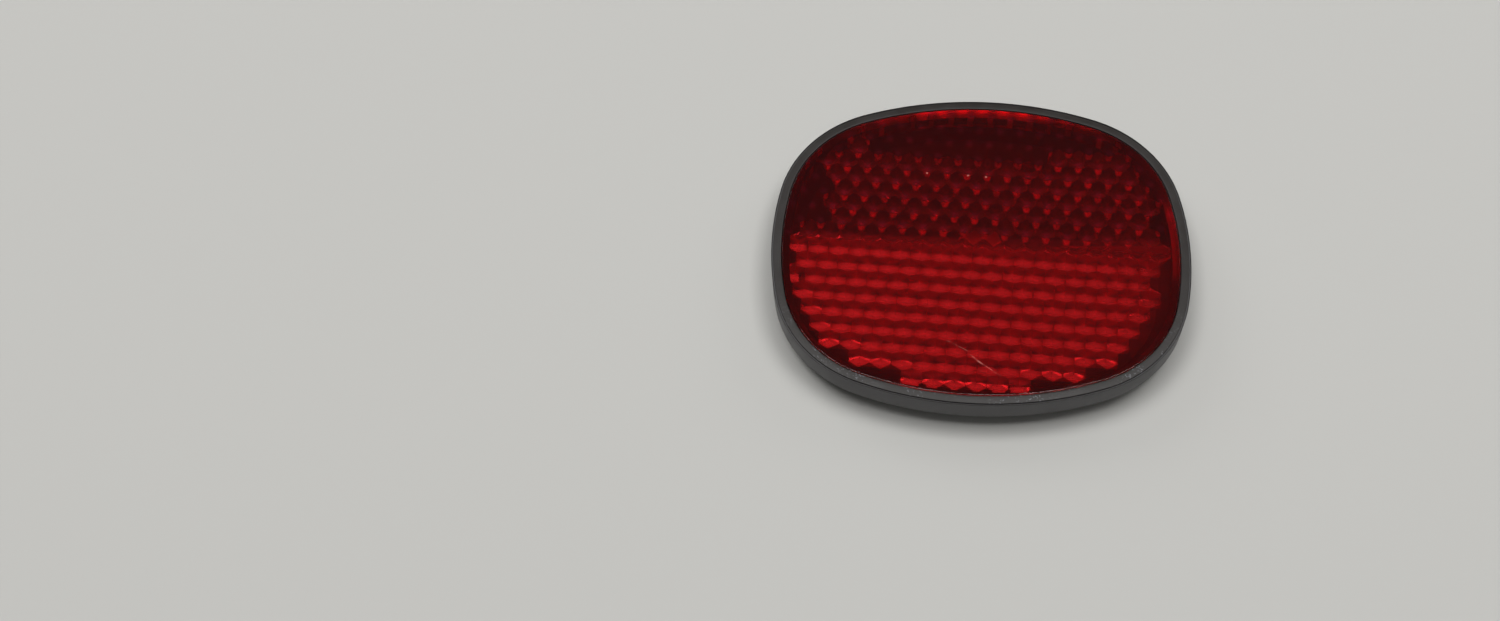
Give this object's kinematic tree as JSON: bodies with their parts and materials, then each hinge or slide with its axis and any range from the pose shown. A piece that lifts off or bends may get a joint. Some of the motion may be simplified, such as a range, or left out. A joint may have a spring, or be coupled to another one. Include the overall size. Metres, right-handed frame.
{
  "type": "rear reflector",
  "caption": "Bicycle rear reflector head: red corner-cube lens in a shallow dark housing, with a thin nut in its back for a bracket screw.",
  "frame": {"origin": "middle of the flat back, on the surface that the reflector lies on", "axes": "+Z out of the lens face, +Y towards the top of the lens, +X to the right as the lens is read"},
  "size_m": [0.0454, 0.0392, 0.0047],
  "materials": {
    "housing_plastic": "satin moulded dark grey",
    "red_lens": "clear red acrylic, polished front, corner-cube pins behind",
    "zinc_steel": "zinc plated"
  },
  "bodies": {
    "root": {"housing": "housing_plastic", "lens": "red_lens", "nut": "zinc_steel"}
  },
  "joints": []
}
